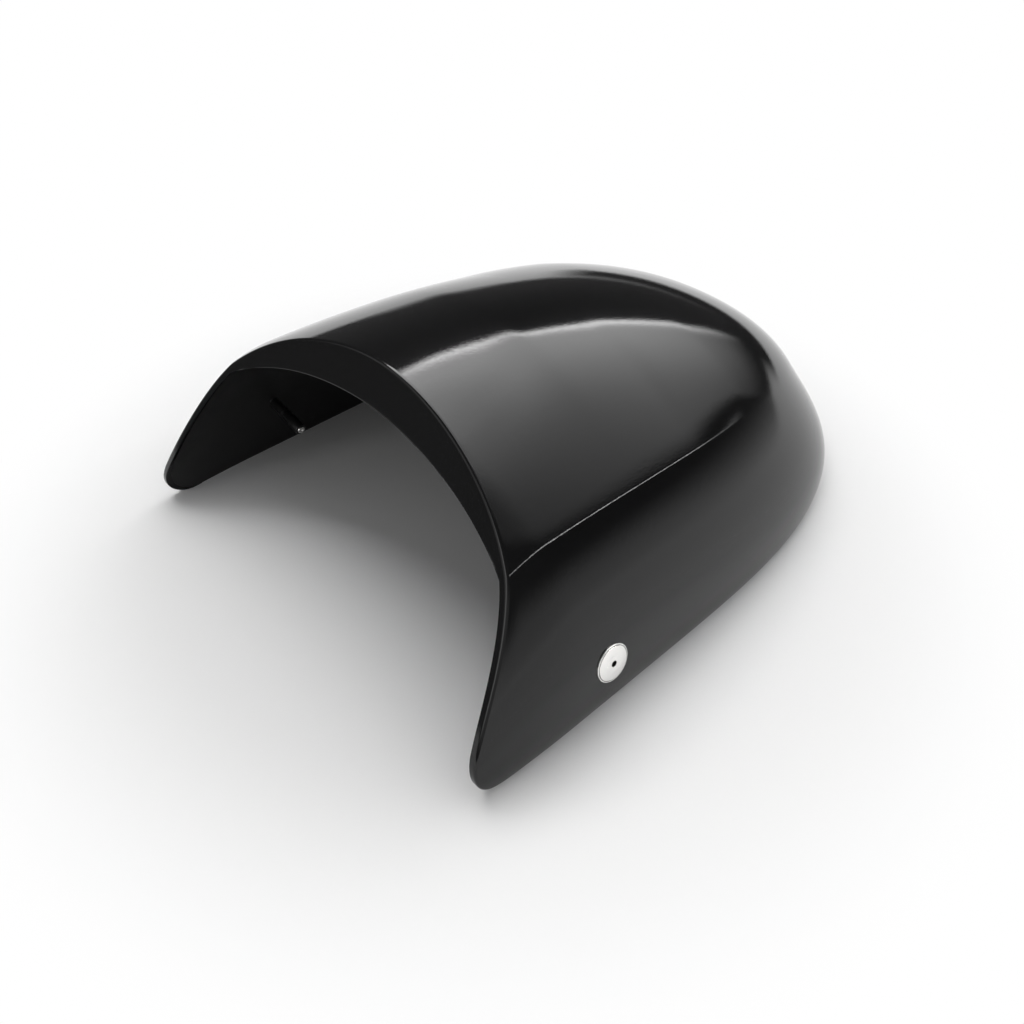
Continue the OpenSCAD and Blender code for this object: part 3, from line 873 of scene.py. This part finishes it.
def bare_material(name):
    """A material that has only its output node; it isn't sampled as a lamp."""
    material = bpy.data.materials.new(name)
    material.use_nodes = True
    material.node_tree.nodes.clear()
    material.cycles.emission_sampling = "NONE"
    return material, material.node_tree, material.node_tree.nodes.new("ShaderNodeOutputMaterial")


def tent_material():
    material, tree, output = bare_material("tent_glow")
    glow = add_node(tree, "ShaderNodeAttribute", attribute_name="glow").outputs["Fac"]
    light = add_node(tree, "ShaderNodeEmission", {"Strength": glow})
    tree.links.new(light.outputs[0], output.inputs["Surface"])
    return material


studio = tent()
studio.data.materials.append(tent_material())
studio.visible_camera = False
print("tent:", len(studio.data.polygons), "faces")

# %% [markdown]
# The far edge of the moulding looks along the floor behind the part, where the studio is dark. A low dark
# card stands there. Only reflections see it, and it fades out at its ends and at its top, so it leaves no
# hard line in the paint.

# %% A low dark card behind the part
CARD_LEFT, CARD_RIGHT, CARD_RADIUS, CARD_HEIGHT, CARD_LIFT = -46, 8, 0.72, 0.12, 0.001
CARD_GLOW, CARD_END_FADE, CARD_TOP_FADE = 0.05, 9, 0.55
CARD_COLUMNS, CARD_ROWS = 28, 12


def dark_card():
    turn_at, share_at = np.linspace(CARD_LEFT, CARD_RIGHT, CARD_COLUMNS), np.linspace(0, 1, CARD_ROWS)
    turn, share = np.meshgrid(turn_at, share_at)
    a, height = np.radians(turn), CARD_LIFT + CARD_HEIGHT * share
    points = np.stack([CARD_RADIUS * np.sin(a), CARD_RADIUS * np.cos(a), height], -1)
    mesh = bpy.data.meshes.new("dark_card")
    mesh.from_pydata([tuple(p) for p in points.reshape(-1, 3)], [], grid_faces(CARD_ROWS, CARD_COLUMNS))
    cover = mesh.attributes.new("cover", "FLOAT", "POINT")
    ends = smooth(turn - CARD_LEFT, 0, CARD_END_FADE) * smooth(CARD_RIGHT - turn, 0, CARD_END_FADE)
    covered = ends * (1 - smooth(share, CARD_TOP_FADE, 1))
    cover.data.foreach_set("value", covered.ravel().astype(np.float32))
    return new_object("dark_card", mesh)


def card_material():
    material, tree, output = bare_material("dark_card")
    cover = add_node(tree, "ShaderNodeAttribute", attribute_name="cover").outputs["Fac"]
    clear = add_node(tree, "ShaderNodeBsdfTransparent").outputs[0]
    dark = add_node(tree, "ShaderNodeEmission", {"Strength": CARD_GLOW}).outputs[0]
    mix = add_node(tree, "ShaderNodeMixShader", {0: cover, 1: clear, 2: dark})
    tree.links.new(mix.outputs[0], output.inputs["Surface"])
    return material


card = dark_card()
card.data.materials.append(card_material())
card.visible_camera = card.visible_diffuse = card.visible_shadow = False
print("dark card:", len(card.data.polygons), "faces")

# %% [markdown]
# The floor is plain and pale and keeps the part's soft shadow. Further out it passes into the white of the
# backdrop, and past its edge the world is that same white. The camera and the reflections both see it, and
# it lights nothing.

# %% Floor and background
FLOOR_RADIUS, FLOOR_SIDES, FLOOR_COLOUR = 19.8, 96, 0.76
WHITE_FROM, WHITE_TO, WHITE_CENTRE = 0.16, 0.28, (0.0, -0.05, 0.0)


def seen_directly(tree):
    """1 for camera, glossy and transmission rays, and 0 for the light that the surfaces send each other."""
    path = add_node(tree, "ShaderNodeLightPath").outputs
    return maths(tree, "MAXIMUM", maths(tree, "MAXIMUM", path["Is Camera Ray"], path["Is Glossy Ray"]),
                 path["Is Transmission Ray"])


def floor_material():
    material, tree, shader = finish("white_floor", (FLOOR_COLOUR,) * 3, rough=0.9)
    shader.inputs["Specular IOR Level"].default_value = 0.0
    vary_roughness(tree, shader, object_noise(tree, scale=3), 0.86, 0.95)
    place = add_node(tree, "ShaderNodeTexCoord").outputs["Object"]
    away = add_node(tree, "ShaderNodeVectorMath", {0: place, 1: WHITE_CENTRE}, operation="DISTANCE")
    fade = add_node(tree, "ShaderNodeMapRange",
                    {"Value": away.outputs["Value"], "From Min": WHITE_FROM, "From Max": WHITE_TO},
                    interpolation_type="SMOOTHSTEP").outputs["Result"]
    white = add_node(tree, "ShaderNodeEmission").outputs[0]
    mix = add_node(tree, "ShaderNodeMixShader",
                   {0: maths(tree, "MULTIPLY", fade, seen_directly(tree)), 1: shader.outputs[0], 2: white})
    tree.links.new(mix.outputs[0], tree.nodes["Material Output"].inputs["Surface"])
    material.cycles.emission_sampling = "NONE"
    return material


def floor():
    mesh = bpy.data.meshes.new("studio_floor")
    turns = np.linspace(0, 2 * math.pi, FLOOR_SIDES, endpoint=False)
    edge = [(FLOOR_RADIUS * math.cos(a), FLOOR_RADIUS * math.sin(a), 0) for a in turns]
    mesh.from_pydata(edge, [], [tuple(range(FLOOR_SIDES))])
    mesh.materials.append(floor_material())
    return new_object("studio_floor", mesh)


def white_world():
    world = bpy.data.worlds.new("white_world")
    bpy.context.scene.world = world
    world.use_nodes = True
    back = world.node_tree.nodes["Background"]
    back.inputs["Color"].default_value = (1, 1, 1, 1)
    world.node_tree.links.new(seen_directly(world.node_tree), back.inputs["Strength"])


ground = floor()
white_world()
print("stage:", ground.name, studio.name, card.name)

# %% [markdown]
# The camera stands where the photographer's did: to the right of the open front and above it. Its place,
# aim and lens were solved from the outline of the moulding. The lens is kept as a number of pixels of the
# square picture, and turned into millimetres for the camera's sensor.

# %% Camera
CAMERA_PLACE = (0.28419, -0.29211, 0.33180)
CAMERA_PAN, CAMERA_TILT, CAMERA_ROLL = 47.39, 48.22, -0.53
FOCAL_PIXELS, PICTURE_PIXELS, SENSOR_WIDTH = 935.4, 1024, 36.0


def turned(degrees, axis):
    return Matrix.Rotation(math.radians(degrees), 4, axis)


lens = bpy.data.cameras.new("studio_camera")
lens.sensor_width = SENSOR_WIDTH
lens.lens = FOCAL_PIXELS * SENSOR_WIDTH / PICTURE_PIXELS
camera = new_object("studio_camera", lens)
aim = turned(CAMERA_PAN, "Z") @ turned(CAMERA_TILT, "X") @ turned(CAMERA_ROLL, "Z")
camera.matrix_world = Matrix.Translation(CAMERA_PLACE) @ aim
bpy.context.scene.camera = camera
bpy.context.scene.view_settings.view_transform = "Standard"
print("lens", round(lens.lens, 2), "mm")
print("camera matrix", [[round(v, 4) for v in row] for row in camera.matrix_world])
